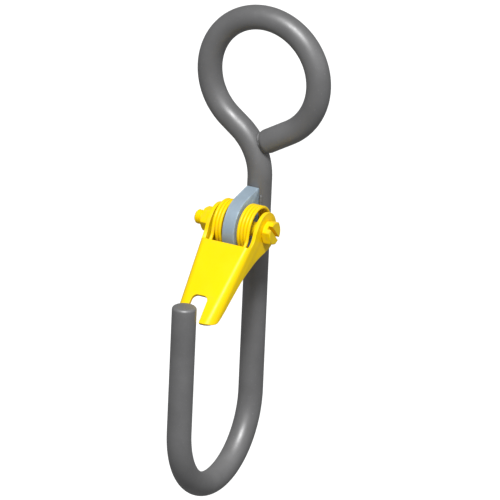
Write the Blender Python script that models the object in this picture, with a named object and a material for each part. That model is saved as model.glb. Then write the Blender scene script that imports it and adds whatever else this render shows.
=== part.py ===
"""Beam clamp hook: round-bar hook with a welded eye, a pivot lug and a sprung, pressed latch.

The origin is the centre of the eye. +Z runs up the shank, +X points from the shank to the
hook's tip and +Y runs along the latch's bolt towards its head.
"""
from math import acos, cos, hypot, pi, radians, sin, sqrt, tan

import bmesh
import bpy
from mathutils import Matrix, Vector

MM = 0.001                  # the driving dimensions below are in millimetres
GAP = 0.3                   # between pieces that touch

# hook bar
BAR_R = 10.0
EYE_R = 49.5                # centre line of the eye
EYE_OPEN = radians(-59.4)   # where the eye's free end leaves the round
EYE_CLOSE = radians(233.74)  # where the eye runs out towards the shank
NECK_R = 49.0               # bend from the eye into the shank
NECK_TURN = radians(53.74)
NECK_Z = -86.2              # the shank is straight below this
BOWL_R = 60.0               # centre line of the hook's bowl
BOWL_Z = -268.2             # height of the bowl's centre
TIP_Z = -159.6              # flat end of the hook's tip
TIP_EDGE = 2.5              # rounding of the tip's edge
BAR_SIDES = 24
END_GAP = 0.35              # between the eye's free end and the neck
END_EDGE = 4.5              # rounding of the free end's edge
BEAD_R = 1.2                # weld at the eye's free end
BEAD_STEPS = 32

# latch pivot
PIVOT = Vector((31.9, 0.0, -117.7))
BOLT_R = 6.0
HOLE_R = 6.5
HEX_AF = 18.0
HEAD_TWIST = radians(15)
HEAD_T = 7.5
SLOT_W = 3.0
SLOT_D = 3.4
SLOT_TURN = radians(45)
NUT_T = 9.6
BOLT_END = -38.7
BOLT_SIDES = 24

# lug
LUG_T = 11.0
LUG_R = 25.0
LUG_AT = (26.3, -119.5)     # centre of the lug's nose, x and z
LUG_FLARE = radians(12)     # its straight sides spread this much towards the shank
LUG_CORNER = 2.5
LUG_BEAD_R = 1.4
LUG_BEAD_HALF = 22.0

# latch, in its own s (along, towards the tip) and h (outwards) from the pivot
LATCH_TILT = radians(45.5)  # below horizontal
LATCH_Y = 1.9               # the latch sits this far towards the bolt's head
SHEET = 3.2
WEB_H = 15.8                # outer face of the web
WEB_TOP = 23.3
WEB_END = 95.8
WEB_HALF_TOP = 17.7         # flat half width where the web starts
WEB_TAPER = 0.064           # lost per unit length from the half width out to the flange
BEND_R = 3.4                # bend where the web starts, at the middle of the sheet
BEND_GROWTH = 0.042         # radius gained per unit length
EAR_Y = 21.55               # middle of the ear's sheet, from the latch's own middle
EAR_R = 16.4
EAR_AT = (0.5, -0.6)        # centre of the ear's round edge, s and h
EAR_BLEND = 12.0            # the flat ear starts to turn into the bend here
RIM_PAST = 3.7              # blank distance from the bend line to the ear's front rim
RIM_CORNER = 2.0
NOTCH_Y = -1.4              # middle of the notch, from the latch's own middle
NOTCH_HALF = 7.0
NOTCH_FLARE = 0.4
NOTCH_TOP = 72.0
NOTCH_R = 4.5

# spring, from the pivot
WIRE_R = 1.4
COIL_R = 18.5
COIL_PITCH = 2.9
COIL_Y_LEFT = 7.9           # innermost turn of each coil
COIL_Y_RIGHT = 9.1
TURNS_LEFT = 2              # full turns of each coil, besides the part turn
TURNS_RIGHT = 3
COIL_START = radians(12)    # where the leg leaves the coil
COIL_END = radians(278.8)   # where the coil runs out towards the bight
STEP_FROM = radians(285)    # each turn lies flat except here, where it steps across
STEP_TO = radians(335)
LEG_H = 10.9                # the leg lies this high under the web
LEG_KNEE = 17.3
LEG_END = 47.0
LEG_IN = 1.2                # each leg leans this far towards the middle
BIGHT_AT = (18.9, -15.8)    # x and z
WIRE_SIDES = 8


def material(name, colour, roughness, metallic):
    """A Principled material."""
    mat = bpy.data.materials.new(name)
    mat.use_nodes = True
    shader = mat.node_tree.nodes["Principled BSDF"]
    shader.inputs["Base Color"].default_value = (*colour, 1.0)
    shader.inputs["Roughness"].default_value = roughness
    shader.inputs["Metallic"].default_value = metallic
    return mat


def add_object(name, bm, mat, origin=(0.0, 0.0, 0.0)):
    """Turn a mesh in millimetres into a named object in metres, with its origin set."""
    bmesh.ops.recalc_face_normals(bm, faces=bm.faces)
    bmesh.ops.translate(bm, vec=-Vector(origin), verts=bm.verts)
    bmesh.ops.scale(bm, vec=(MM, MM, MM), verts=bm.verts)
    mesh = bpy.data.meshes.new(name)
    bm.to_mesh(mesh)
    bm.free()
    mesh.shade_smooth()
    mesh.set_sharp_from_angle(angle=radians(35))
    mesh.materials.append(mat)
    ob = bpy.data.objects.new(name, mesh)
    ob.location = Vector(origin) * MM
    bpy.context.scene.collection.objects.link(ob)
    return ob


def cut(ob, name, bm):
    """Subtract a closed mesh in millimetres from an object."""
    cutter = add_object(name, bm, ob.data.materials[0])
    cutter.hide_render = True
    cutter.display_type = "WIRE"
    modifier = ob.modifiers.new(name, "BOOLEAN")
    modifier.operation = "DIFFERENCE"
    modifier.solver = "EXACT"
    modifier.object = cutter


def arc(centre, radius, start, end, steps, u, v):
    """Points of an arc in the plane of u and v, with both ends."""
    turn = (end - start) / steps
    angles = [start + turn * i for i in range(steps + 1)]
    return [Vector(centre) + radius * (cos(a) * Vector(u) + sin(a) * Vector(v)) for a in angles]


def rounded(points, radius, steps):
    """A path whose inner corners are rounded."""
    path = [points[0]]
    for before, corner, after in zip(points, points[1:], points[2:]):
        back = (before - corner).normalized()
        ahead = (after - corner).normalized()
        start, end = corner + radius * back, corner + radius * ahead
        for i in range(steps + 1):
            t = i / steps
            path.append((1 - t) ** 2 * start + 2 * t * (1 - t) * corner + t * t * end)
    path.append(points[-1])
    return path


def rings_along(bm, path, radii, sides, closed_up=None):
    """Rings of vertices round a path. A closed path takes its frame from closed_up."""
    rings = []
    side = None
    for i, (point, radius) in enumerate(zip(path, radii)):
        before = path[i - 1] if (i or closed_up) else point
        after = path[(i + 1) % len(path)] if (closed_up or i + 1 < len(path)) else point
        along = (after - before).normalized()
        if closed_up:
            side = along.cross(closed_up).normalized()
        elif side is None:
            side = along.orthogonal().normalized()
        else:
            side = (side - side.dot(along) * along).normalized()
        other = along.cross(side)
        turns = [2 * pi * k / sides for k in range(sides)]
        rings.append([bm.verts.new(point + radius * (cos(a) * side + sin(a) * other)) for a in turns])
    return rings


def skin(bm, first, second):
    """Quads between two rings of vertices."""
    for k in range(len(first)):
        n = (k + 1) % len(first)
        bm.faces.new((first[k], first[n], second[n], second[k]))


def sweep(path, radii, sides, closed_up=None):
    """A round rod along a path, with flat ends unless the path is closed."""
    bm = bmesh.new()
    rings = rings_along(bm, path, radii, sides, closed_up)
    for first, second in zip(rings, rings[1:]):
        skin(bm, first, second)
    if closed_up:
        skin(bm, rings[-1], rings[0])
    else:
        bm.faces.new(rings[0])
        bm.faces.new(rings[-1])
    return bm


def rod(radius, y_low, y_high, sides):
    """A round or many-sided bar along Y, on the pivot."""
    bm = bmesh.new()
    turns = [2 * pi * k / sides for k in range(sides)]
    outline = [bm.verts.new((radius * cos(a), y_low, radius * sin(a))) for a in turns]
    made = bmesh.ops.extrude_face_region(bm, geom=[bm.faces.new(outline)])
    top = [v for v in made["geom"] if isinstance(v, bmesh.types.BMVert)]
    bmesh.ops.translate(bm, vec=(0, y_high - y_low, 0), verts=top)
    bmesh.ops.translate(bm, vec=PIVOT, verts=bm.verts)
    bmesh.ops.recalc_face_normals(bm, faces=bm.faces)
    return bm


# ---- hook bar -------------------------------------------------------------------------------

NECK_AT = Vector((0.0, -NECK_R, NECK_Z))
FREE_START = Vector((0.0, EYE_R * cos(EYE_OPEN), EYE_R * sin(EYE_OPEN)))
FREE_DIR = Vector((0.0, sin(EYE_OPEN), -cos(EYE_OPEN)))
FREE_SIDE = Vector((0.0, -FREE_DIR.z, FREE_DIR.y))
FREE_LENGTH = (FREE_START - NECK_AT).length - NECK_R - BAR_R - END_GAP
FREE_END = FREE_START + FREE_LENGTH * FREE_DIR


def bar_end(end, out, edge, steps):
    """Centres and radii of a rounded edge, from the bar's flat end to its full size."""
    turns = [pi / 2 * (1 - i / steps) for i in range(steps + 1)]
    return [end + edge * (sin(a) - 1) * out for a in turns], [BAR_R + edge * (cos(a) - 1) for a in turns]


def hook_path():
    """Centre line from the start of the eye's round to the end of the bowl's."""
    y, z, x = (0, 1, 0), (0, 0, 1), (1, 0, 0)
    path = arc((0, 0, 0), EYE_R, EYE_OPEN, 0.0, 8, y, z)[:-1]
    path += arc((0, 0, 0), EYE_R, 0.0, pi, 24, y, z)[:-1]
    path += arc((0, 0, 0), EYE_R, pi, EYE_CLOSE, 7, y, z)
    path += arc(NECK_AT, NECK_R, NECK_TURN, 0.0, 7, y, z)
    path += arc((BOWL_R, 0, BOWL_Z), BOWL_R, pi, 2 * pi, 26, x, z)
    return path


def hook_bar(mat):
    """One bent bar, with its ends cut square and rounded at the edge. One stops at the neck."""
    free, free_radii = bar_end(FREE_END, FREE_DIR, END_EDGE, 4)
    tip, tip_radii = bar_end(Vector((2 * BOWL_R, 0, TIP_Z)), Vector((0, 0, 1)), TIP_EDGE, 3)
    middle = hook_path()
    radii = free_radii + [BAR_R] * len(middle) + tip_radii[::-1]
    return add_object("hook_bar", sweep(free + middle + tip[::-1], radii, BAR_SIDES), mat)


def beside_neck(around, out, clear):
    """Point near the free end, clear of the neck's axis.

    around is its angle round the free end's axis, out its distance from that axis.
    """
    start = FREE_END + out * (cos(around) * Vector((1, 0, 0)) + sin(around) * FREE_SIDE)
    reach = NECK_R + sqrt(clear ** 2 - (out * cos(around)) ** 2)
    offset = start - NECK_AT
    offset.x = 0.0
    along = offset.dot(FREE_DIR)
    return start - FREE_DIR * (along + sqrt(along * along - offset.length_squared + reach * reach))


def groove_point(around, clear):
    """Point in the groove between the free end and the neck, clear of both."""
    low, high = BAR_R - END_EDGE, BAR_R + clear
    for _ in range(30):
        out = (low + high) / 2
        point = beside_neck(around, out, BAR_R + clear)
        height = (point - FREE_END).dot(FREE_DIR) + END_EDGE
        if hypot(out - BAR_R + END_EDGE, height) < END_EDGE + clear:
            low = out
        else:
            high = out
    return point


def eye_weld(mat):
    """Bead in the groove between the eye's free end and the neck."""
    turns = [2 * pi * k / BEAD_STEPS for k in range(BEAD_STEPS)]
    path = [groove_point(a, BEAD_R + GAP) for a in turns]
    return add_object("eye_weld", sweep(path, [BEAD_R] * BEAD_STEPS, 8, closed_up=FREE_DIR), mat)


# ---- lug ------------------------------------------------------------------------------------

def latch_lug(mat):
    """Thick plate with a round nose and a flat back against the shank, with the bolt's hole."""
    x, z = LUG_AT
    near = -LUG_T / 2
    reach = pi / 2 - LUG_FLARE
    nose = arc((x, near, z), LUG_R, -reach, reach, 32, (1, 0, 0), (0, 0, 1))
    back = BAR_R + GAP
    half = LUG_R * sin(reach) + (nose[0].x - back) * tan(LUG_FLARE)
    corners = [Vector((back, near, z + half)), Vector((back, near, z - half))]
    edge = nose + rounded([nose[-1], *corners, nose[0]], LUG_CORNER, 3)[1:-1]
    bm = bmesh.new()
    face = bm.faces.new([bm.verts.new(point) for point in edge])
    made = bmesh.ops.extrude_face_region(bm, geom=[face])
    far = [v for v in made["geom"] if isinstance(v, bmesh.types.BMVert)]
    bmesh.ops.translate(bm, vec=(0, LUG_T, 0), verts=far)
    lug = add_object("latch_lug", bm, mat)
    cut(lug, "cut_lug_hole", rod(HOLE_R, -LUG_T, LUG_T, 32))
    return lug


def lug_weld(name, side, mat):
    """Fillet bead in the valley between the shank and one face of the lug."""
    y = LUG_T / 2 + GAP + LUG_BEAD_R
    x = sqrt((BAR_R + GAP + LUG_BEAD_R) ** 2 - y * y)
    z = LUG_AT[1]
    ends = [z - LUG_BEAD_HALF, z + LUG_BEAD_HALF]
    bm = sweep([Vector((x, side * y, e)) for e in ends], [LUG_BEAD_R] * 2, 10)
    return add_object(name, bm, mat)


# ---- bolt and nut ---------------------------------------------------------------------------

def ring_of(bm, radius, y, sides, twist):
    """Vertices round the Y axis."""
    turns = [twist + 2 * pi * k / sides for k in range(sides)]
    return [bm.verts.new((radius * cos(a), y, radius * sin(a))) for a in turns]


def slot_cutter(face):
    """Block that cuts the screwdriver slot into the head's outer face."""
    bm = bmesh.new()
    bmesh.ops.create_cube(bm, size=1.0)
    bmesh.ops.scale(bm, vec=(2 * HEX_AF, 2 * SLOT_D, SLOT_W), verts=bm.verts)
    turn = Matrix.Rotation(-SLOT_TURN, 3, "Y")
    bmesh.ops.rotate(bm, matrix=turn, verts=bm.verts)
    bmesh.ops.translate(bm, vec=PIVOT + Vector((0, face, 0)), verts=bm.verts)
    return bm


def pivot_bolt(mat):
    """Slotted hexagon-head bolt, with a rounded end."""
    face = LATCH_Y + EAR_Y + SHEET / 2 + GAP
    stations = [(BOLT_R - 1.6, BOLT_END), (BOLT_R - 0.5, BOLT_END + 0.5), (BOLT_R, BOLT_END + 1.6)]
    stations.append((BOLT_R, face))
    bm = bmesh.new()
    rings = [ring_of(bm, radius, y, BOLT_SIDES, HEAD_TWIST) for radius, y in stations]
    for first, second in zip(rings, rings[1:]):
        skin(bm, first, second)
    bm.faces.new(rings[0])
    low = ring_of(bm, HEX_AF / sqrt(3), face, 6, HEAD_TWIST)
    high = ring_of(bm, HEX_AF / sqrt(3), face + HEAD_T, 6, HEAD_TWIST)
    skin(bm, low, high)
    bm.faces.new(high)
    share = BOLT_SIDES // 6
    for k in range(6):
        inner = [rings[-1][(share * k + i) % BOLT_SIDES] for i in range(share + 1)]
        bm.faces.new([low[k], low[(k + 1) % 6]] + inner[::-1])
    bmesh.ops.translate(bm, vec=PIVOT, verts=bm.verts)
    bolt = add_object("pivot_bolt", bm, mat, PIVOT)
    cut(bolt, "cut_bolt_slot", slot_cutter(face + HEAD_T))
    return bolt


def pivot_nut(mat):
    """Hexagon nut."""
    face = LATCH_Y - EAR_Y - SHEET / 2 - GAP
    nut = add_object("pivot_nut", rod(HEX_AF / sqrt(3), face - NUT_T, face, 6), mat, PIVOT)
    cut(nut, "cut_nut_hole", rod(BOLT_R + GAP, face - 2 * NUT_T, face + NUT_T, 24))
    return nut


# ---- latch ----------------------------------------------------------------------------------

MID_H = WEB_H - SHEET / 2


def bend_r(s):
    """Radius of the bend, at the middle of the sheet."""
    return BEND_R + BEND_GROWTH * (s - WEB_TOP)


def web_half(s):
    """Half width of the flat web, up to the bend line."""
    return WEB_HALF_TOP - (WEB_TAPER + BEND_GROWTH) * (s - WEB_TOP)


def flat_sum(s):
    """Blank distance past the bend line plus height, on the flat of the flange."""
    return MID_H + (pi / 2 - 1) * bend_r(s)


def past_at(s, h):
    """Blank distance past the bend line of a point at a height on the flange or bend."""
    radius = bend_r(s)
    rise = h - MID_H + radius
    return flat_sum(s) - h if rise < 0 else radius * acos(rise / radius)


def ease(t):
    """Smooth step from 0 to 1."""
    t = min(max(t, 0.0), 1.0)
    return t * t * (3 - 2 * t)


def fold(s, w, depth):
    """Where a point of the flat blank goes when it is pressed, as s, y and h."""
    side = 1.0 if w >= 0 else -1.0
    past = abs(w) - web_half(s)
    radius = bend_r(s)
    turn = min(max(past, 0.0) / radius, pi / 2)
    y = web_half(s) + min(past, 0.0) + (radius + depth) * sin(turn)
    h = MID_H - radius + (radius + depth) * cos(turn) - max(past - radius * pi / 2, 0.0)
    share = ease((s - EAR_BLEND) / (WEB_TOP - EAR_BLEND))
    y = share * y + (1 - share) * (EAR_Y + depth)
    h = share * h + (1 - share) * (flat_sum(s) - past)
    return s, LATCH_Y + side * y, h


def latch_point(s, y, h):
    """A point given in the latch's s and h, from the pivot."""
    x = s * cos(LATCH_TILT) + h * sin(LATCH_TILT)
    z = h * cos(LATCH_TILT) - s * sin(LATCH_TILT)
    return Vector((x, y, z))


def blank_rim():
    """One half of the blank's outer edge, from the middle of its top to the prong's end."""
    edge = [(WEB_TOP, 0.0)]
    for k in range(4):
        a = pi / 2 * k / 3
        along = WEB_TOP - RIM_CORNER + RIM_CORNER * cos(a)
        edge.append((along, RIM_PAST - RIM_CORNER + RIM_CORNER * sin(a)))
    upper = [(18.5, 12.4), (15.5, 12.7), (12.5, 13.7), (9.0, 15.0), (5.0, 15.6)]
    s0, h0 = EAR_AT
    turns = [pi / 2 + (radians(312) - pi / 2) * k / 26 for k in range(27)]
    round_edge = [(s0 + EAR_R * cos(a), h0 + EAR_R * sin(a)) for a in turns]
    lower = [(15.0, -10.5), (19.0, -7.8), (24.0, -5.2), (29.0, -3.1), (34.0, -1.5), (46.0, 2.0)]
    lower += [(64.0, 4.3), (76.0, 5.4), (83.0, 6.3)]
    edge += [(s, flat_sum(s) - h) for s, h in upper + round_edge]
    edge += [(s, past_at(s, h)) for s, h in lower]
    edge += [(88.0, 10.4), (91.0, 8.8), (93.3, 6.6), (94.9, 3.8), (WEB_END, 0.6)]
    return [edge[0]] + [(s, web_half(s) + past) for s, past in edge[1:]]


def blank_notch():
    """One half of the notch, from the prong's end to the middle of the notch's top."""
    edge = [(WEB_END, NOTCH_HALF + NOTCH_FLARE), (NOTCH_TOP + NOTCH_R, NOTCH_HALF)]
    for k in range(1, 5):
        a = pi / 2 * k / 4
        away = NOTCH_R * (1 - sin(a))
        edge.append((NOTCH_TOP + away, NOTCH_HALF - NOTCH_R + NOTCH_R * cos(a)))
    return edge


def slice_blank(bm, place, normal):
    """Add edges where a plane crosses the mesh."""
    geom = bm.verts[:] + bm.edges[:] + bm.faces[:]
    bmesh.ops.bisect_plane(bm, geom=geom, dist=1e-5, plane_co=place, plane_no=normal)


def slice_bend(bm, side, share):
    """Add an edge along the bend, at a share of its turn from the web to the flange."""
    out = WEB_HALF_TOP + share * BEND_R * pi / 2
    taper = WEB_TAPER + BEND_GROWTH - share * BEND_GROWTH * pi / 2
    slice_blank(bm, (WEB_TOP, side * out, 0), (taper, side, 0))


def blank():
    """The flat sheet, cut into strips where it will bend."""
    bm = bmesh.new()
    rim, notch = blank_rim(), blank_notch()
    edge = rim + [(s, NOTCH_Y + w) for s, w in notch]
    edge += [(s, NOTCH_Y - w) for s, w in reversed(notch)] + [(s, -w) for s, w in rim[:0:-1]]
    face = bm.faces.new([bm.verts.new((s, w, -SHEET / 2)) for s, w in edge])
    made = bmesh.ops.extrude_face_region(bm, geom=[face])
    top = [v for v in made["geom"] if isinstance(v, bmesh.types.BMVert)]
    bmesh.ops.translate(bm, vec=(0, 0, SHEET), verts=top)
    for side in (1, -1):
        for step in range(5):
            slice_bend(bm, side, step / 4)
    for s in (12.5, 15.5, 18.5, 21.3, WEB_TOP):
        slice_blank(bm, (s, 0, 0), (1, 0, 0))
    return bm


def latch(mat):
    """Pressed channel latch: a tapered web with a forked end, and two ears on the bolt."""
    bm = blank()
    for v in bm.verts:
        v.co = PIVOT + latch_point(*fold(*v.co))
    bmesh.ops.triangulate(bm, faces=bm.faces)
    ob = add_object("latch", bm, mat, PIVOT)
    outer = LATCH_Y + EAR_Y + SHEET
    cut(ob, "cut_latch_holes", rod(HOLE_R, -outer, outer, 32))
    return ob


# ---- spring ---------------------------------------------------------------------------------

def coil_y(a, inner, turns):
    """How far out the wire is, at an angle counted from the leg's turn."""
    full, part = divmod(a, 2 * pi)
    step = ease((part - STEP_FROM) / (STEP_TO - STEP_FROM))
    return inner + COIL_PITCH * (turns - full - step)


def half_spring(side, inner, turns):
    """Centre line of one half of the spring, from the leg's end to the bight's middle.

    side is the sign of its y.
    """
    sweep_angle = 2 * pi * turns + COIL_END - COIL_START
    count = round(sweep_angle / (pi / 9))
    angles = [COIL_START + sweep_angle * i / count for i in range(count + 1)]
    coil = [Vector((COIL_R * cos(a), side * coil_y(a, inner, turns), COIL_R * sin(a))) for a in angles]
    y_out = inner + COIL_PITCH * turns
    leg = [latch_point(LEG_END, side * (y_out - LEG_IN), LEG_H)]
    leg += [latch_point(LEG_KNEE, side * y_out, LEG_H), coil[0]]
    x, z = BIGHT_AT
    bight = [coil[-1], Vector((x, side * inner, z)), Vector((x, 0, z))]
    return rounded(leg, 2.5, 5)[:-1] + coil + rounded(bight, 2.4, 5)[1:-1]


def torsion_spring(mat):
    """One wire: leg, coil, a bight across the front of the lug, coil, leg."""
    path = half_spring(1, COIL_Y_RIGHT, TURNS_RIGHT)
    path += half_spring(-1, COIL_Y_LEFT, TURNS_LEFT)[::-1]
    path = [PIVOT + p for p in path]
    return add_object("torsion_spring", sweep(path, [WIRE_R] * len(path), WIRE_SIDES), mat, PIVOT)


def main():
    for ob in list(bpy.data.objects):
        bpy.data.objects.remove(ob)
    steel = (0.14, 0.14, 0.145)
    yellow = (0.95, 0.82, 0.02)
    hook_bar(material("bar_steel", steel, 0.45, 0.6))
    eye_weld(material("eye_weld_steel", steel, 0.55, 0.6))
    latch_lug(material("lug_steel", (0.42, 0.5, 0.55), 0.4, 0.5))
    lug_weld("lug_weld_left", -1, material("left_bead_steel", steel, 0.55, 0.6))
    lug_weld("lug_weld_right", 1, material("right_bead_steel", steel, 0.55, 0.6))
    pivot_bolt(material("bolt_yellow", yellow, 0.35, 0.1))
    pivot_nut(material("nut_yellow", yellow, 0.35, 0.1))
    torsion_spring(material("spring_yellow", yellow, 0.35, 0.1))
    latch(material("latch_yellow", yellow, 0.4, 0.0))


main()
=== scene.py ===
"""Looks of the beam clamp hook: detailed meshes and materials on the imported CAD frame.

The origin is the centre of the eye. +Z runs up the shank, +X points from the shank to the
hook's tip and +Y runs along the latch's bolt towards its head.
"""
from math import acos, cos, hypot, pi, radians, sin, sqrt, tan

import bmesh
import bpy
from mathutils import Matrix, Vector, noise

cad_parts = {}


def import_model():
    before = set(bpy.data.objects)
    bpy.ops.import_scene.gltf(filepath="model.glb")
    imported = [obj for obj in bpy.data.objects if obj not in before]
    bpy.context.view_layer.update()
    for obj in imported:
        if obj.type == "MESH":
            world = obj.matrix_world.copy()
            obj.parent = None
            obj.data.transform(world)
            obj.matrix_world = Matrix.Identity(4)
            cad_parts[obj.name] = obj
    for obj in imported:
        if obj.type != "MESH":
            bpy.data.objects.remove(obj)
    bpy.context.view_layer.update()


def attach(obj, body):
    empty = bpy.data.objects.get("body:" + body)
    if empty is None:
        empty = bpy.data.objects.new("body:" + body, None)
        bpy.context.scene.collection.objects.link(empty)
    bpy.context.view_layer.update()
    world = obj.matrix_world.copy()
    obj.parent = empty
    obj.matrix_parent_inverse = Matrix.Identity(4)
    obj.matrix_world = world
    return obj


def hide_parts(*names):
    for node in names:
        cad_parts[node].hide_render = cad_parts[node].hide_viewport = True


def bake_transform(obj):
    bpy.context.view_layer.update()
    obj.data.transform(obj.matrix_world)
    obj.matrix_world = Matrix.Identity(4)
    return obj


MM = 0.001                  # the driving dimensions below are in millimetres

# hook bar
BAR_R = 10.0
EYE_R = 49.5                # centre line of the eye
EYE_OPEN = radians(-59.4)   # where the eye's free end leaves the round
EYE_CLOSE = radians(233.74)  # where the eye runs out towards the shank
NECK_R = 49.0               # bend from the eye into the shank
NECK_TURN = radians(53.74)
NECK_Z = -86.2              # the shank is straight below this
BOWL_R = 60.0               # centre line of the hook's bowl
BOWL_Z = -268.2
TIP_Z = -159.6
TIP_EDGE = 2.5              # rounding of the tip's edge
BAR_SIDES = 96
END_GAP = 0.35              # between the eye's free end and the neck
END_EDGE = 4.5              # rounding of the free end's edge
SEAM_BEAD_R = 1.3

# latch pivot
PIVOT = Vector((31.9, 0.0, -117.7))
BOLT_R = 6.0
HOLE_R = 6.5
HEX_AF = 18.0
HEX_RIM = 0.475 * HEX_AF    # the chamfer starts at this radius
HEAD_TWIST = radians(15)
HEAD_T = 7.5
SLOT_W = 3.0
SLOT_D = 3.4
SLOT_TURN = radians(45)
NUT_T = 9.6
BOLT_END = -38.7
THREAD_PITCH = 1.75
THREAD_DEPTH = 0.9
THREAD_FROM = -24.0         # the thread runs from here to the bolt's end

# lug
LUG_T = 11.0
LUG_R = 25.0
LUG_AT = (26.3, -119.5)     # centre of the lug's nose, x and z
LUG_FLARE = radians(12)     # its straight sides spread this much towards the shank
LUG_CORNER = 2.5
LUG_EDGE = 0.5
LUG_BEAD_R = 1.3
LUG_BEAD_HALF = 22.0

# latch, in its own s (along, towards the tip) and h (outwards) from the pivot
LATCH_TILT = radians(45.5)
LATCH_Y = 1.9
SHEET = 3.2
WEB_H = 15.8
WEB_TOP = 23.3
WEB_END = 95.8
WEB_HALF_TOP = 17.7
WEB_TAPER = 0.064
BEND_R = 3.4
BEND_GROWTH = 0.042         # radius gained per unit length
EAR_Y = 21.55
EAR_R = 16.4
EAR_AT = (0.5, -0.6)
EAR_BLEND = 12.0
RIM_PAST = 3.7
RIM_CORNER = 2.0
NOTCH_Y = -1.4              # middle of the notch, from the latch's own middle
NOTCH_HALF = 7.0
NOTCH_FLARE = 0.4
NOTCH_TOP = 72.0
NOTCH_R = 4.5
SHEET_EDGE = 0.45
BEND_STEPS = 12
GAP = 0.3

# spring, from the pivot
WIRE_R = 1.4
COIL_R = 18.5
COIL_PITCH = 2.9
COIL_Y_LEFT = 7.9           # innermost turn of each coil
COIL_Y_RIGHT = 9.1
TURNS_LEFT = 2
TURNS_RIGHT = 3
COIL_START = radians(12)
COIL_END = radians(278.8)
STEP_FROM = radians(285)    # each turn lies flat except here, where it steps across
STEP_TO = radians(335)
LEG_H = 10.9
LEG_KNEE = 17.3
LEG_END = 47.0
LEG_IN = 1.2                # each leg leans this far towards the middle
BIGHT_AT = (18.9, -15.8)    # x and z
WIRE_SIDES = 20

# camera: where it looks from, and the width of what it sees
CAMERA_BACK = Vector((0.8297, 0.4350, 0.3501)).normalized()
CAMERA_UP = CAMERA_BACK.cross(Vector((-0.4774, 0.8780, 0.0405))).normalized()
CAMERA_RIGHT = CAMERA_UP.cross(CAMERA_BACK)
CAMERA_AT = Vector((0.0457, 0.0179, -0.1306))
CAMERA_WIDTH = 0.4006
CAMERA_LENS = 1000.0
SENSOR = 36.0
FLOOR_Z = -0.75
KEY_LIGHT = 3.7
FILL_LIGHT = 0.25
WORLD_LIGHT = 0.26

# colours
STEEL = (0.2, 0.2, 0.203)
# lighter edge colour of the bar: partly rubbed paint, partly a painted highlight on the tip's rounded rim
STEEL_RUBBED_AND_HIGHLIGHT = (0.3, 0.3, 0.31)
LUG_BLUE = (0.36, 0.46, 0.55)
YELLOW = (1.0, 0.69, 0.0)
YELLOW_RUBBED = (0.85, 0.55, 0.03)
HARDWARE_ROUGH = 0.34


# ---- meshes ---------------------------------------------------------------------------------

def arc(centre, radius, start, end, steps, u, v):
    """Points of an arc in the plane of u and v, with both ends."""
    turn = (end - start) / steps
    angles = [start + turn * i for i in range(steps + 1)]
    return [Vector(centre) + radius * (cos(a) * Vector(u) + sin(a) * Vector(v)) for a in angles]


def rounded(points, radius, steps):
    """A path whose inner corners are rounded."""
    path = [points[0]]
    for before, corner, after in zip(points, points[1:], points[2:]):
        back = (before - corner).normalized()
        ahead = (after - corner).normalized()
        start, end = corner + radius * back, corner + radius * ahead
        for i in range(steps + 1):
            t = i / steps
            path.append((1 - t) ** 2 * start + 2 * t * (1 - t) * corner + t * t * end)
    path.append(points[-1])
    return path


def skin(bm, first, second):
    """Quads between two rings of vertices."""
    for k in range(len(first)):
        n = (k + 1) % len(first)
        bm.faces.new((first[k], first[n], second[n], second[k]))


def frames_along(path, closed_up=None):
    """A pair of unit vectors across each point of a path, without twist."""
    frames = []
    side = None
    for i, point in enumerate(path):
        before = path[i - 1] if (i or closed_up) else point
        after = path[(i + 1) % len(path)] if (closed_up or i + 1 < len(path)) else point
        along = (after - before).normalized()
        if closed_up:
            side = along.cross(closed_up).normalized()
        elif side is None:
            side = along.orthogonal().normalized()
        else:
            side = (side - side.dot(along) * along).normalized()
        frames.append((side, along.cross(side)))
    return frames


def tube(path, radii, sides, closed_up=None):
    """A round rod along a path, with one radius for each point and flat ends."""
    bm = bmesh.new()
    rings = []
    for point, radius, (side, other) in zip(path, radii, frames_along(path, closed_up)):
        turns = [2 * pi * k / sides for k in range(sides)]
        rings.append([bm.verts.new(point + radius * (cos(a) * side + sin(a) * other)) for a in turns])
    for first, second in zip(rings, rings[1:]):
        skin(bm, first, second)
    if closed_up:
        skin(bm, rings[-1], rings[0])
    else:
        bm.faces.new(rings[0])
        bm.faces.new(rings[-1])
    return bm


def turned(profile, sides):
    """A closed body round the Y axis on the pivot.

    profile gives the (radius, y) points of the section at an angle. A section that starts and
    ends on the axis is a solid, and another is a ring.
    """
    bm = bmesh.new()
    columns = []
    for k in range(sides):
        a = 2 * pi * k / sides
        columns.append([(r, Vector((r * cos(a), y, r * sin(a)))) for r, y in profile(a)])
    solid = columns[0][0][0] == 0.0
    if solid:
        caps = [bm.verts.new(columns[0][i][1]) for i in (0, -1)]
    rows = [[bm.verts.new(p) for r, p in column if r > 0.0] for column in columns]
    for k in range(sides):
        here, there = rows[k], rows[(k + 1) % sides]
        for i in range(len(here) - 1):
            bm.faces.new((here[i], here[i + 1], there[i + 1], there[i]))
        if solid:
            bm.faces.new((caps[0], here[0], there[0]))
            bm.faces.new((here[-1], caps[1], there[-1]))
        else:
            bm.faces.new((here[-1], here[0], there[0], there[-1]))
    bmesh.ops.translate(bm, vec=PIVOT, verts=bm.verts)
    return bm


def mark_wear_and_highlight(mesh):
    """Store how sharply each vertex stands out, for the wear in the materials and for the painted
    highlight on the bar's tip rim.
    """
    bm = bmesh.new()
    bm.from_mesh(mesh)
    values = []
    for v in bm.verts:
        bends = [e.calc_face_angle_signed(0.0) for e in v.link_edges if len(e.link_faces) == 2]
        values.append(min(max(max(bends, default=0.0) - 0.12, 0.0) * 4.0, 1.0))
    bm.free()
    attribute = mesh.attributes.new("wear_and_highlight", "FLOAT", "POINT")
    attribute.data.foreach_set("value", values)


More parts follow.
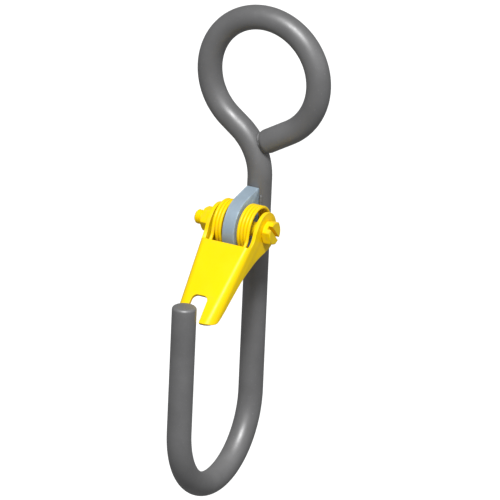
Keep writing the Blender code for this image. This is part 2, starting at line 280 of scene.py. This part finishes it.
def add_piece(name, bm, mat, sharp=35.0):
    """Turn a mesh in millimetres into a named object in metres."""
    bmesh.ops.recalc_face_normals(bm, faces=bm.faces)
    bmesh.ops.scale(bm, vec=(MM, MM, MM), verts=bm.verts)
    mesh = bpy.data.meshes.new(name)
    bm.to_mesh(mesh)
    bm.free()
    mesh.shade_smooth()
    mesh.set_sharp_from_angle(angle=radians(sharp))
    mesh.materials.append(mat)
    ob = bpy.data.objects.new(name, mesh)
    bpy.context.scene.collection.objects.link(ob)
    return ob


def apply_modifiers(ob):
    """Bake an object's modifiers into its mesh."""
    graph = bpy.context.evaluated_depsgraph_get()
    baked = bpy.data.meshes.new_from_object(ob.evaluated_get(graph), depsgraph=graph)
    ob.modifiers.clear()
    ob.data = baked


def cut(ob, bm):
    """Subtract a closed mesh in millimetres from an object."""
    cutter = add_piece("cutter", bm, ob.data.materials[0])
    modifier = ob.modifiers.new("cut", "BOOLEAN")
    modifier.operation = "DIFFERENCE"
    modifier.solver = "EXACT"
    modifier.object = cutter
    apply_modifiers(ob)
    bpy.data.objects.remove(cutter)


def round_edges(ob, width, angle, segments=3):
    """Round the sharp edges and keep the flat faces flat in shading."""
    bevel = ob.modifiers.new("bevel", "BEVEL")
    bevel.width = width * MM
    bevel.segments = segments
    bevel.limit_method = "ANGLE"
    bevel.angle_limit = radians(angle)
    bevel.use_clamp_overlap = True
    weighted = ob.modifiers.new("weighted", "WEIGHTED_NORMAL")
    weighted.keep_sharp = False
    ob.data.shade_smooth()
    apply_modifiers(ob)


def settle(ob, body, slot, *nodes):
    """Say which CAD body a piece rides on and which nodes it stands for."""
    mark_wear_and_highlight(ob.data)
    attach(ob, body)
    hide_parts(*nodes)
    return ob


def ripple(point, scale, seed):
    """Smooth noise from -1 to 1 at a point in millimetres."""
    return noise.noise(Vector(point) / scale + Vector((seed, seed, seed)))


# ---- hook bar -------------------------------------------------------------------------------

NECK_AT = Vector((0.0, -NECK_R, NECK_Z))
FREE_START = Vector((0.0, EYE_R * cos(EYE_OPEN), EYE_R * sin(EYE_OPEN)))
FREE_DIR = Vector((0.0, sin(EYE_OPEN), -cos(EYE_OPEN)))
FREE_SIDE = Vector((0.0, -FREE_DIR.z, FREE_DIR.y))
FREE_LENGTH = (FREE_START - NECK_AT).length - NECK_R - BAR_R - END_GAP
FREE_END = FREE_START + FREE_LENGTH * FREE_DIR


def free_end():
    """Centres and radii of the eye's free end, from its flat face to the start of the round."""
    turns = [pi / 2 * (1 - i / 14) for i in range(15)]
    path = [FREE_END + END_EDGE * (sin(a) - 1) * FREE_DIR for a in turns]
    radii = [BAR_R + END_EDGE * (cos(a) - 1) for a in turns]
    path += [path[-1].lerp(FREE_START, i / 12) for i in range(1, 12)]
    return path, radii + [BAR_R] * 11


def hook_path():
    """Centre line from the start of the eye's round to the start of the tip's rounding."""
    y, z, x = (0, 1, 0), (0, 0, 1), (1, 0, 0)
    path = arc((0, 0, 0), EYE_R, EYE_OPEN, EYE_CLOSE, 200, y, z)
    path += arc(NECK_AT, NECK_R, NECK_TURN, 0.0, 36, y, z)[1:]
    path += [Vector((0, 0, NECK_Z + (BOWL_Z - NECK_Z) * i / 30)) for i in range(1, 30)]
    path += arc((BOWL_R, 0, BOWL_Z), BOWL_R, pi, 2 * pi, 130, x, z)
    top = TIP_Z - TIP_EDGE
    path += [Vector((2 * BOWL_R, 0, BOWL_Z + (top - BOWL_Z) * i / 20)) for i in range(1, 21)]
    return path


def hook_bar(mat):
    """One bent bar, cut square and rounded at the edge of both ends."""
    path, radii = free_end()
    path += hook_path()
    radii += [BAR_R] * (len(path) - len(radii))
    for i in range(1, 9):
        a = pi / 2 * i / 8
        path.append(Vector((2 * BOWL_R, 0, TIP_Z + TIP_EDGE * (sin(a) - 1))))
        radii.append(BAR_R + TIP_EDGE * (cos(a) - 1))
    return settle(add_piece("bar", tube(path, radii, BAR_SIDES), mat), "hook", "bar", "hook_bar")


def beside_neck(around, out, clear):
    """Point near the free end, clear of the neck's axis.

    around is its angle round the free end's axis, out its distance from that axis.
    """
    start = FREE_END + out * (cos(around) * Vector((1, 0, 0)) + sin(around) * FREE_SIDE)
    reach = NECK_R + sqrt(clear ** 2 - (out * cos(around)) ** 2)
    offset = start - NECK_AT
    offset.x = 0.0
    along = offset.dot(FREE_DIR)
    return start - FREE_DIR * (along + sqrt(along * along - offset.length_squared + reach * reach))


def groove_point(around, clear):
    """Point in the groove between the free end and the neck, clear of both."""
    low, high = BAR_R - END_EDGE, BAR_R + clear
    for _ in range(30):
        out = (low + high) / 2
        point = beside_neck(around, out, BAR_R + clear)
        height = (point - FREE_END).dot(FREE_DIR) + END_EDGE
        if hypot(out - BAR_R + END_EDGE, height) < END_EDGE + clear:
            low = out
        else:
            high = out
    return point


def bead_radii(path, radius, step):
    """Radii of a weld bead: overlapping ripples with a little unevenness."""
    radii = []
    length = 0.0
    for i, point in enumerate(path):
        length += (point - path[i - 1]).length if i else 0.0
        share = (length / step) % 1.0
        radii.append(radius * (0.93 + 0.12 * sin(pi * share) + 0.06 * ripple(point, 2.5, 3.0)))
    return radii


def eye_weld(mat):
    """Slim bead in the groove between the eye's free end and the neck."""
    path = [groove_point(2 * pi * k / 300, 0.6 * SEAM_BEAD_R) for k in range(300)]
    bm = tube(path, bead_radii(path, SEAM_BEAD_R, 1.6), 16, closed_up=FREE_DIR)
    return settle(add_piece("eye_seam", bm, mat), "hook", "weld", "eye_weld")


# ---- lug ------------------------------------------------------------------------------------

def lug_layer(y, inset):
    """Outline of the plate at one y, made smaller by inset."""
    x, z = LUG_AT
    reach = pi / 2 - LUG_FLARE
    nose = arc((x, y, z), LUG_R - inset, -reach, reach, 80, (1, 0, 0), (0, 0, 1))
    back = BAR_R - 0.1 + inset
    half = (LUG_R - inset) * sin(reach) + (nose[0].x - back) * tan(LUG_FLARE)
    corners = [Vector((back, y, z + half)), Vector((back, y, z - half))]
    return nose + rounded([nose[-1], *corners, nose[0]], LUG_CORNER, 8)[1:-1]


def latch_lug(mat):
    """Plate with a round nose, eased edges and a countersunk hole, its back on the shank."""
    half = LUG_T / 2
    stations = [(-half, LUG_EDGE), (-half + 0.15, 0.22), (-half + LUG_EDGE, 0.0)]
    stations += [(y * half / 6, 0.0) for y in range(-4, 5)]
    stations += [(-y, inset) for y, inset in reversed(stations[:3])]
    bm = bmesh.new()
    outer, inner = [], []
    for y, inset in stations:
        points = lug_layer(y, inset)
        outer.append([bm.verts.new(p) for p in points])
        ring = []
        for p in points:
            out = Vector((p.x - PIVOT.x, 0.0, p.z - PIVOT.z)).normalized()
            place = PIVOT + (HOLE_R + inset) * out
            ring.append(bm.verts.new((place.x, y, place.z)))
        inner.append(ring)
    for first, second in zip(outer, outer[1:]):
        skin(bm, first, second)
    for first, second in zip(inner, inner[1:]):
        skin(bm, first, second)
    skin(bm, outer[0], inner[0])
    skin(bm, outer[-1], inner[-1])
    return settle(add_piece("lug", bm, mat, 30), "hook", "lug", "latch_lug")


def lug_weld(name, side, node, mat):
    """Fillet bead in the valley between the shank and one face of the lug."""
    y = LUG_T / 2 + 0.5 * LUG_BEAD_R
    x = sqrt((BAR_R + 0.5 * LUG_BEAD_R) ** 2 - y * y)
    count = 260
    path = []
    for i in range(count + 1):
        z = LUG_AT[1] - LUG_BEAD_HALF + 2 * LUG_BEAD_HALF * i / count
        path.append(Vector((x, side * y, z)))
    radii = bead_radii(path, LUG_BEAD_R, 1.7)
    for i in range(9):
        ease_out = sqrt(1 - (1 - i / 9) ** 2) * 0.9 + 0.1
        radii[i] *= ease_out
        radii[-1 - i] *= ease_out
    bm = tube(path, radii, 16)
    return settle(add_piece(name, bm, mat), "hook", "weld", node)


# ---- bolt and nut ---------------------------------------------------------------------------

def hex_reach(a, twist):
    """Distance from the axis to a hexagon's side at an angle, with eased corners."""
    part = (a - twist) % (pi / 3) - pi / 6
    flat = HEX_AF / 2 / cos(part)
    corner = HEX_AF / sqrt(3) - 0.28
    over = max(flat - corner, 0.0)
    return flat - over * 0.75


def hex_drop(reach):
    """How far the chamfer has fallen from the end face at a distance from the axis."""
    return max(reach - HEX_RIM, 0.0) * tan(radians(30))


def thread_radius(a, y):
    """Radius of the bolt at an angle and height: a ground shank, then a V thread."""
    phase = (y / THREAD_PITCH - a / (2 * pi)) % 1.0
    wave = min(abs(phase - 0.5) * 2.6, 1.0)
    run = min(max((THREAD_FROM - y) / 3.0, 0.0), 1.0)
    end = BOLT_R - 1.5 + 1.1 * (y - BOLT_END)
    return min(BOLT_R - THREAD_DEPTH * run * wave, end)


def bolt_profile(a):
    """Section of the bolt at an angle, from the threaded end to the head's top."""
    face = LATCH_Y + EAR_Y + SHEET / 2 + GAP
    reach = hex_reach(a, HEAD_TWIST)
    points = [(0.0, BOLT_END), (0.5 * BOLT_R, BOLT_END)]
    rings = round((THREAD_FROM - BOLT_END) / THREAD_PITCH * 14)
    for i in range(rings + 1):
        y = BOLT_END + (THREAD_FROM - BOLT_END) * i / rings
        points.append((thread_radius(a, y), y))
    points += [(BOLT_R, -10.0), (BOLT_R, 10.0), (BOLT_R, face - 0.6), (BOLT_R + 0.25, face - 0.1)]
    points += [(0.47 * HEX_AF, face - 0.1), (HEX_RIM, face + 0.2)]
    points += [(reach, face + 0.2 + hex_drop(reach))]
    top = face + HEAD_T
    points += [(reach, top - hex_drop(reach)), (HEX_RIM, top), (0.2 * HEX_AF, top), (0.0, top)]
    return points


def slot_cutter(face):
    """Block that cuts the screwdriver slot into the head's outer face."""
    bm = bmesh.new()
    bmesh.ops.create_cube(bm, size=1.0)
    bmesh.ops.scale(bm, vec=(2 * HEX_AF, 2 * SLOT_D, SLOT_W), verts=bm.verts)
    bmesh.ops.rotate(bm, matrix=Matrix.Rotation(-SLOT_TURN, 3, "Y"), verts=bm.verts)
    bmesh.ops.translate(bm, vec=PIVOT + Vector((0, face, 0)), verts=bm.verts)
    return bm


def pivot_bolt(mat):
    """Slotted, chamfered hexagon-head bolt with a cut thread."""
    bolt = add_piece("bolt", turned(bolt_profile, 96), mat, 30)
    cut(bolt, slot_cutter(LATCH_Y + EAR_Y + SHEET / 2 + GAP + HEAD_T))
    bolt.data.shade_smooth()
    bolt.data.set_sharp_from_angle(angle=radians(28))
    return settle(bolt, "hook", "hardware", "pivot_bolt")


def nut_profile(a):
    """Section of the nut at an angle."""
    face = LATCH_Y - EAR_Y - SHEET / 2 - GAP
    back = face - NUT_T
    reach = hex_reach(a, 0.0)
    bore = BOLT_R + 0.15
    points = [(bore, back + 0.8), (bore + 0.8, back), (HEX_RIM, back), (reach, back + hex_drop(reach))]
    points += [(reach, face - hex_drop(reach)), (HEX_RIM, face), (bore + 0.8, face), (bore, face - 0.8)]
    return points


def pivot_nut(mat):
    """Hexagon nut, chamfered on both faces."""
    nut = add_piece("nut", turned(nut_profile, 96), mat, 28)
    return settle(nut, "hook", "hardware", "pivot_nut")


# ---- latch ----------------------------------------------------------------------------------

MID_H = WEB_H - SHEET / 2


def bend_r(s):
    """Radius of the bend, at the middle of the sheet."""
    return BEND_R + BEND_GROWTH * (s - WEB_TOP)


def web_half(s):
    """Half width of the flat web, up to the bend line."""
    return WEB_HALF_TOP - (WEB_TAPER + BEND_GROWTH) * (s - WEB_TOP)


def flat_sum(s):
    """Blank distance past the bend line plus height, on the flat of the flange."""
    return MID_H + (pi / 2 - 1) * bend_r(s)


def past_at(s, h):
    """Blank distance past the bend line of a point at a height on the flange or bend."""
    radius = bend_r(s)
    rise = h - MID_H + radius
    return flat_sum(s) - h if rise < 0 else radius * acos(rise / radius)


def ease(t):
    """Smooth step from 0 to 1."""
    t = min(max(t, 0.0), 1.0)
    return t * t * (3 - 2 * t)


def fold(s, w, depth):
    """Where a point of the flat blank goes when it is pressed, as s, y and h."""
    side = 1.0 if w >= 0 else -1.0
    past = abs(w) - web_half(s)
    radius = bend_r(s)
    turn = min(max(past, 0.0) / radius, pi / 2)
    y = web_half(s) + min(past, 0.0) + (radius + depth) * sin(turn)
    h = MID_H - radius + (radius + depth) * cos(turn) - max(past - radius * pi / 2, 0.0)
    share = ease((s - EAR_BLEND) / (WEB_TOP - EAR_BLEND))
    y = share * y + (1 - share) * (EAR_Y + depth)
    h = share * h + (1 - share) * (flat_sum(s) - past)
    return s, LATCH_Y + side * y, h


def latch_point(s, y, h):
    """A point given in the latch's s and h, from the pivot."""
    x = s * cos(LATCH_TILT) + h * sin(LATCH_TILT)
    z = h * cos(LATCH_TILT) - s * sin(LATCH_TILT)
    return Vector((x, y, z))


def smooth_line(points, steps):
    """A Catmull-Rom curve through points, with both ends."""
    padded = [points[0], *points, points[-1]]
    curve = []
    for a, b, c, d in zip(padded, padded[1:], padded[2:], padded[3:]):
        for i in range(steps):
            t = i / steps
            curve.append(tuple(
                0.5 * (2 * q + (r - p) * t + (2 * p - 5 * q + 4 * r - s) * t * t
                       + (3 * q - p - 3 * r + s) * t ** 3)
                for p, q, r, s in zip(a, b, c, d)))
    curve.append(tuple(points[-1]))
    return curve


def blank_rim():
    """One half of the blank's outer edge, from the middle of its top to the prong's end."""
    edge = [(WEB_TOP, 0.0)]
    for k in range(7):
        a = pi / 2 * k / 6
        along = WEB_TOP - RIM_CORNER + RIM_CORNER * cos(a)
        edge.append((along, RIM_PAST - RIM_CORNER + RIM_CORNER * sin(a)))
    s0, h0 = EAR_AT
    turns = [pi / 2 + (radians(312) - pi / 2) * k / 60 for k in range(61)]
    round_edge = [(s0 + EAR_R * cos(a), h0 + EAR_R * sin(a)) for a in turns]
    upper = [(18.5, 12.4), (15.5, 12.7), (12.5, 13.7), (9.0, 15.0), (5.0, 15.6), round_edge[0]]
    lower = [round_edge[-1], (15.0, -10.5), (19.0, -7.8), (24.0, -5.2), (29.0, -3.1), (34.0, -1.5)]
    lower += [(46.0, 2.0), (64.0, 4.3), (76.0, 5.4), (83.0, 6.3)]
    edge += [(s, flat_sum(s) - h) for s, h in smooth_line(upper, 4)[:-1] + round_edge]
    edge += [(s, past_at(s, h)) for s, h in smooth_line(lower, 4)[1:]]
    tail = [(88.0, 10.4), (91.0, 8.8), (93.3, 6.6), (94.9, 3.8), (WEB_END, 0.6)]
    edge += smooth_line([edge[-1], *tail], 4)[1:]
    return [edge[0]] + [(s, web_half(s) + past) for s, past in edge[1:]]


def blank_notch():
    """One half of the notch, from the prong's end to the middle of the notch's top."""
    edge = [(WEB_END, NOTCH_HALF + NOTCH_FLARE), (NOTCH_TOP + NOTCH_R, NOTCH_HALF)]
    for k in range(1, 11):
        a = pi / 2 * k / 10
        away = NOTCH_R * (1 - sin(a))
        edge.append((NOTCH_TOP + away, NOTCH_HALF - NOTCH_R + NOTCH_R * cos(a)))
    return edge


def slice_blank(bm, place, normal):
    """Add edges where a plane crosses the mesh."""
    geom = bm.verts[:] + bm.edges[:] + bm.faces[:]
    bmesh.ops.bisect_plane(bm, geom=geom, dist=1e-5, plane_co=place, plane_no=normal)


def slice_bend(bm, side, share):
    """Add an edge along the bend, at a share of its turn from the web to the flange."""
    out = WEB_HALF_TOP + share * BEND_R * pi / 2
    taper = WEB_TAPER + BEND_GROWTH - share * BEND_GROWTH * pi / 2
    slice_blank(bm, (WEB_TOP, side * out, 0), (taper, side, 0))


def blank():
    """The flat sheet, cut into strips where it will bend."""
    bm = bmesh.new()
    rim, notch = blank_rim(), blank_notch()
    edge = rim + [(s, NOTCH_Y + w) for s, w in notch]
    edge += [(s, NOTCH_Y - w) for s, w in reversed(notch)] + [(s, -w) for s, w in rim[:0:-1]]
    face = bm.faces.new([bm.verts.new((s, w, -SHEET / 2)) for s, w in edge])
    made = bmesh.ops.extrude_face_region(bm, geom=[face])
    top = [v for v in made["geom"] if isinstance(v, bmesh.types.BMVert)]
    bmesh.ops.translate(bm, vec=(0, 0, SHEET), verts=top)
    bmesh.ops.recalc_face_normals(bm, faces=bm.faces)
    return bm


def ear_cutter(side):
    """Cutter for an ear's hole in the flat blank, which the fold makes round."""
    bm = bmesh.new()
    ring = []
    for k in range(64):
        a = 2 * pi * k / 64
        s, h = HOLE_R * cos(a), HOLE_R * sin(a)
        ring.append(bm.verts.new((s, side * (web_half(s) + flat_sum(s) - h), -SHEET)))
    made = bmesh.ops.extrude_face_region(bm, geom=[bm.faces.new(ring)])
    top = [v for v in made["geom"] if isinstance(v, bmesh.types.BMVert)]
    bmesh.ops.translate(bm, vec=(0, 0, 2 * SHEET), verts=top)
    return bm


def latch(mat):
    """Pressed channel latch with eased edges, folded from its flat blank."""
    ob = add_piece("latch_plate", blank(), mat)
    for side in (1, -1):
        cut(ob, ear_cutter(side))
    round_edges(ob, SHEET_EDGE, 40)
    bm = bmesh.new()
    bm.from_mesh(ob.data)
    bmesh.ops.scale(bm, vec=(1 / MM,) * 3, verts=bm.verts)
    for side in (1, -1):
        for step in range(BEND_STEPS + 1):
            slice_bend(bm, side, step / BEND_STEPS)
        for past in (6.5, 8.0, 10.0, 13.0, 17.0):
            slice_blank(bm, (WEB_TOP, side * (WEB_HALF_TOP + past), 0), (WEB_TAPER, side, 0))
    for step in range(13):
        s = EAR_BLEND + (WEB_TOP - EAR_BLEND) * step / 12
        slice_blank(bm, (s, 0, 0), (1, 0, 0))
    for s in (30.0, 40.0, 50.0, 60.0, 70.0, 80.0, 90.0):
        slice_blank(bm, (s, 0, 0), (1, 0, 0))
    for v in bm.verts:
        v.co = (PIVOT + latch_point(*fold(*v.co))) * MM
    bm.to_mesh(ob.data)
    bm.free()
    ob.data.shade_smooth()
    return settle(ob, "latch", "latch", "latch")


# ---- spring ---------------------------------------------------------------------------------

def coil_y(a, inner, turns):
    """How far out the wire is, at an angle counted from the leg's turn."""
    full, part = divmod(a, 2 * pi)
    step = ease((part - STEP_FROM) / (STEP_TO - STEP_FROM))
    return inner + COIL_PITCH * (turns - full - step)


def half_spring(side, inner, turns):
    """Centre line of one half of the spring, from the leg's end to the bight's middle."""
    sweep_angle = 2 * pi * turns + COIL_END - COIL_START
    count = round(sweep_angle / (pi / 30))
    angles = [COIL_START + sweep_angle * i / count for i in range(count + 1)]
    coil = [Vector((COIL_R * cos(a), side * coil_y(a, inner, turns), COIL_R * sin(a))) for a in angles]
    y_out = inner + COIL_PITCH * turns
    leg = [latch_point(LEG_END, side * (y_out - LEG_IN), LEG_H)]
    leg += [latch_point(LEG_KNEE, side * y_out, LEG_H), coil[0]]
    x, z = BIGHT_AT
    bight = [coil[-1], Vector((x, side * inner, z)), Vector((x, 0, z))]
    return rounded(leg, 2.5, 12)[:-1] + coil + rounded(bight, 2.4, 12)[1:]


def spring_half(name, side, inner, turns, mat):
    """One half of the double torsion spring, built in one pose; the real spring winds up between the bight
    and the leg.
    """
    path = [PIVOT + p for p in half_spring(side, inner, turns)]
    ob = add_piece(name, tube(path, [WIRE_R] * len(path), WIRE_SIDES), mat)
    mark_wear_and_highlight(ob.data)
    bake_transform(ob)
    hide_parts("torsion_spring")
    return ob


# ---- materials ------------------------------------------------------------------------------

class Nodes:
    """Short names for building one material's nodes."""

    def __init__(self, name):
        self.material = bpy.data.materials.new(name)
        self.material.use_nodes = True
        self.tree = self.material.node_tree
        self.shader = self.tree.nodes["Principled BSDF"]
        self.place = self.add("ShaderNodeTexCoord").outputs["Object"]

    def add(self, kind, **settings):
        """A new node with some of its settings set."""
        node = self.tree.nodes.new(kind)
        for key, value in settings.items():
            setattr(node, key, value)
        return node

    def put(self, socket, value):
        """Link a socket to an output, or set its value."""
        if isinstance(value, bpy.types.NodeSocket):
            self.tree.links.new(value, socket)
        else:
            socket.default_value = value

    def noise(self, scale, detail=3.0, rough=0.5, stretch=(1, 1, 1)):
        """Noise with features of about 1000 / scale millimetres."""
        mapping = self.add("ShaderNodeMapping")
        mapping.inputs["Scale"].default_value = stretch
        self.put(mapping.inputs["Vector"], self.place)
        node = self.add("ShaderNodeTexNoise")
        self.put(node.inputs["Vector"], mapping.outputs["Vector"])
        node.inputs["Scale"].default_value = scale
        node.inputs["Detail"].default_value = detail
        node.inputs["Roughness"].default_value = rough
        return node.outputs["Fac"]

    def span(self, value, low, high, to_low=0.0, to_high=1.0):
        """Map a range onto another, clamped."""
        node = self.add("ShaderNodeMapRange")
        self.put(node.inputs["Value"], value)
        for key, number in zip(("From Min", "From Max", "To Min", "To Max"), (low, high, to_low, to_high)):
            node.inputs[key].default_value = number
        return node.outputs["Result"]

    def math(self, operation, a, b):
        """A sum or product, clamped from 0 to 1."""
        node = self.add("ShaderNodeMath", operation=operation, use_clamp=True)
        self.put(node.inputs[0], a)
        self.put(node.inputs[1], b)
        return node.outputs["Value"]

    def mix(self, share, a, b):
        """Blend two colours."""
        node = self.add("ShaderNodeMix", data_type="RGBA")
        self.put(node.inputs["Factor"], share)
        for index, value in ((6, a), (7, b)):
            self.put(node.inputs[index], value if isinstance(value, bpy.types.NodeSocket) else (*value, 1))
        return node.outputs[2]

    def wear_and_highlight(self):
        """1 on sharp outer edges, from the mesh."""
        node = self.add("ShaderNodeAttribute", attribute_name="wear_and_highlight")
        # this mask marks real wear, and on the bar also a painted highlight on the tip's rim
        return node.outputs["Fac"]

    def bump(self, height, strength, distance, under=None):
        """A bump, over another one if that is given."""
        node = self.add("ShaderNodeBump")
        self.put(node.inputs["Height"], height)
        node.inputs["Strength"].default_value = strength
        node.inputs["Distance"].default_value = distance
        if under is not None:
            self.put(node.inputs["Normal"], under)
        return node.outputs["Normal"]


def shade(colour, factor):
    """A colour made lighter or darker."""
    return tuple(min(c * factor, 1.0) for c in colour)


def powder_coat(name, colour, rub, rough=0.38):
    """Glossy-satin powder coat: orange peel, faint mottling and rubbed edges."""
    n = Nodes(name)
    mottle = n.noise(35, 4)
    fine = n.noise(420, 2)
    tone = n.mix(n.span(mottle, 0.3, 0.7), shade(colour, 0.955), shade(colour, 1.02))
    tone = n.mix(n.span(fine, 0.35, 0.75, 0.0, 0.25), tone, shade(colour, 0.93))
    edge = n.math("MULTIPLY", n.wear_and_highlight(), n.span(n.noise(260, 5, 0.65), 0.47, 0.62))
    n.put(n.shader.inputs["Base Color"], n.mix(n.math("MULTIPLY", edge, 0.55), tone, rub))
    base = n.span(n.noise(90, 5, 0.6), 0.3, 0.7, rough - 0.06, rough + 0.07)
    n.put(n.shader.inputs["Roughness"], n.math("ADD", base, n.math("MULTIPLY", edge, 0.12)))
    peel = n.bump(n.noise(520, 2, 0.45), 0.35, 0.00012)
    n.put(n.shader.inputs["Normal"], n.bump(n.noise(2600, 1), 0.12, 0.00002, peel))
    n.shader.inputs["Specular IOR Level"].default_value = 0.2
    return n.material


def dark_steel(name, colour, edge_rub_and_highlight, rough=0.47):
    """Dark satin paint on a hot-rolled bar: dull patches, pale specks, and edges lightened partly as
    rubbed paint and partly as a painted highlight on the tip's rounded rim.
    """
    n = Nodes(name)
    patches = n.noise(28, 5, 0.6)
    tone = n.mix(n.span(patches, 0.3, 0.7), shade(colour, 0.88), shade(colour, 1.1))
    specks = n.span(n.noise(700, 2, 0.6), 0.66, 0.74)
    tone = n.mix(n.math("MULTIPLY", specks, 0.35), tone, shade(colour, 1.9))
    # sharp edges, mostly the tip's rounded rim, turn lighter: partly rubbed paint, partly a painted
    # highlight
    edge = n.math("MULTIPLY", n.wear_and_highlight(), n.span(n.noise(300, 5, 0.65), 0.42, 0.6))
    n.put(n.shader.inputs["Base Color"], n.mix(n.math("MULTIPLY", edge, 0.5), tone, edge_rub_and_highlight))
    base = n.span(n.noise(70, 6, 0.65), 0.3, 0.7, rough - 0.07, rough + 0.09)
    n.put(n.shader.inputs["Roughness"], base)
    skin_bump = n.bump(n.noise(160, 4, 0.55), 0.3, 0.00016)
    n.put(n.shader.inputs["Normal"], n.bump(n.noise(1400, 2), 0.2, 0.00004, skin_bump))
    n.shader.inputs["Metallic"].default_value = 0.4
    return n.material


def weld_steel(name, colour):
    """The same dark paint over weld metal: rougher and mottled."""
    n = Nodes(name)
    tone = n.mix(n.span(n.noise(220, 5, 0.6), 0.3, 0.7), shade(colour, 0.72), shade(colour, 1.12))
    n.put(n.shader.inputs["Base Color"], tone)
    n.put(n.shader.inputs["Roughness"], n.span(n.noise(300, 4), 0.3, 0.7, 0.42, 0.62))
    n.put(n.shader.inputs["Normal"], n.bump(n.noise(900, 4, 0.6), 0.4, 0.0001))
    n.shader.inputs["Metallic"].default_value = 0.25
    return n.material


def plate_steel(name, colour):
    """Blue-grey coated plate with faint brushing and rubbed corners."""
    n = Nodes(name)
    tone = n.mix(n.span(n.noise(60, 5, 0.6), 0.3, 0.7), shade(colour, 0.93), shade(colour, 1.06))
    brushed = n.noise(500, 3, 0.6, (0.15, 1.0, 1.0))
    tone = n.mix(n.span(brushed, 0.35, 0.7, 0.0, 0.2), tone, shade(colour, 0.8))
    edge = n.math("MULTIPLY", n.wear_and_highlight(), n.span(n.noise(330, 5, 0.65), 0.45, 0.62))
    n.put(n.shader.inputs["Base Color"], n.mix(n.math("MULTIPLY", edge, 0.5), tone, shade(colour, 1.5)))
    n.put(n.shader.inputs["Roughness"], n.span(n.noise(140, 5, 0.6), 0.3, 0.7, 0.36, 0.52))
    grain = n.bump(brushed, 0.18, 0.00006)
    n.put(n.shader.inputs["Normal"], n.bump(n.noise(380, 3), 0.25, 0.00008, grain))
    n.shader.inputs["Metallic"].default_value = 0.3
    return n.material


# ---- scene ----------------------------------------------------------------------------------

def add_sun(name, right, up, strength, spread):
    """A soft distant light. right and up say where it stands, seen from the camera."""
    out = Matrix((CAMERA_RIGHT, CAMERA_UP, CAMERA_BACK)).transposed() @ Vector(
        (right, up, sqrt(1 - right * right - up * up)))
    light = bpy.data.lights.new(name, "SUN")
    light.energy = strength
    light.angle = radians(spread)
    ob = bpy.data.objects.new(name, light)
    ob.rotation_euler = out.to_track_quat("Z", "Y").to_euler()
    bpy.context.scene.collection.objects.link(ob)


def set_stage():
    """Pale floor well below the hanging hook, and soft light from above the camera."""
    bm = bmesh.new()
    bmesh.ops.create_grid(bm, x_segments=1, y_segments=1, size=40.0 / MM)
    bmesh.ops.translate(bm, vec=(0, 0, FLOOR_Z / MM), verts=bm.verts)
    n = Nodes("floor_white")
    n.shader.inputs["Base Color"].default_value = (0.93, 0.93, 0.93, 1)
    n.shader.inputs["Roughness"].default_value = 0.9
    n.shader.inputs["Specular IOR Level"].default_value = 0.0
    floor = add_piece("floor", bm, n.material)
    floor.visible_diffuse = False
    floor.visible_glossy = False
    world = bpy.data.worlds.new("studio")
    world.use_nodes = True
    background = world.node_tree.nodes["Background"]
    background.inputs["Color"].default_value = (1, 1, 1, 1)
    background.inputs["Strength"].default_value = WORLD_LIGHT
    bpy.context.scene.world = world
    add_sun("key", 0.02, 0.54, KEY_LIGHT, 14)
    add_sun("fill", 0.85, 0.35, FILL_LIGHT, 50)
    bpy.context.scene.view_settings.view_transform = "Standard"


def set_camera():
    """A long lens, so that parallel edges stay parallel."""
    data = bpy.data.cameras.new("camera")
    data.lens = CAMERA_LENS
    data.sensor_width = SENSOR
    data.clip_end = 100.0
    ob = bpy.data.objects.new("camera", data)
    place = CAMERA_AT + CAMERA_BACK * (CAMERA_WIDTH * CAMERA_LENS / SENSOR)
    turn = Matrix((CAMERA_RIGHT, CAMERA_UP, CAMERA_BACK)).transposed()
    ob.matrix_world = Matrix.Translation(place) @ turn.to_4x4()
    bpy.context.scene.collection.objects.link(ob)
    bpy.context.scene.camera = ob


def main():
    """Load the frame, build every piece around it, and set the stage and camera."""
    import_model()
    hook_bar(dark_steel("bar_dark_steel", STEEL, STEEL_RUBBED_AND_HIGHLIGHT))
    bead = weld_steel("weld_dark_steel", STEEL)
    eye_weld(bead)
    lug_weld("lug_bead_left", -1, "lug_weld_left", bead)
    lug_weld("lug_bead_right", 1, "lug_weld_right", bead)
    latch_lug(plate_steel("lug_blue_grey", LUG_BLUE))
    hardware = powder_coat("hardware_yellow", YELLOW, YELLOW_RUBBED, HARDWARE_ROUGH)
    pivot_bolt(hardware)
    pivot_nut(hardware)
    latch(powder_coat("latch_yellow", YELLOW, YELLOW_RUBBED))
    wire = powder_coat("spring_yellow", YELLOW, YELLOW_RUBBED, HARDWARE_ROUGH)
    spring_half("spring_right", 1, COIL_Y_RIGHT, TURNS_RIGHT, wire)
    spring_half("spring_left", -1, COIL_Y_LEFT, TURNS_LEFT, wire)
    set_stage()
    set_camera()


main()
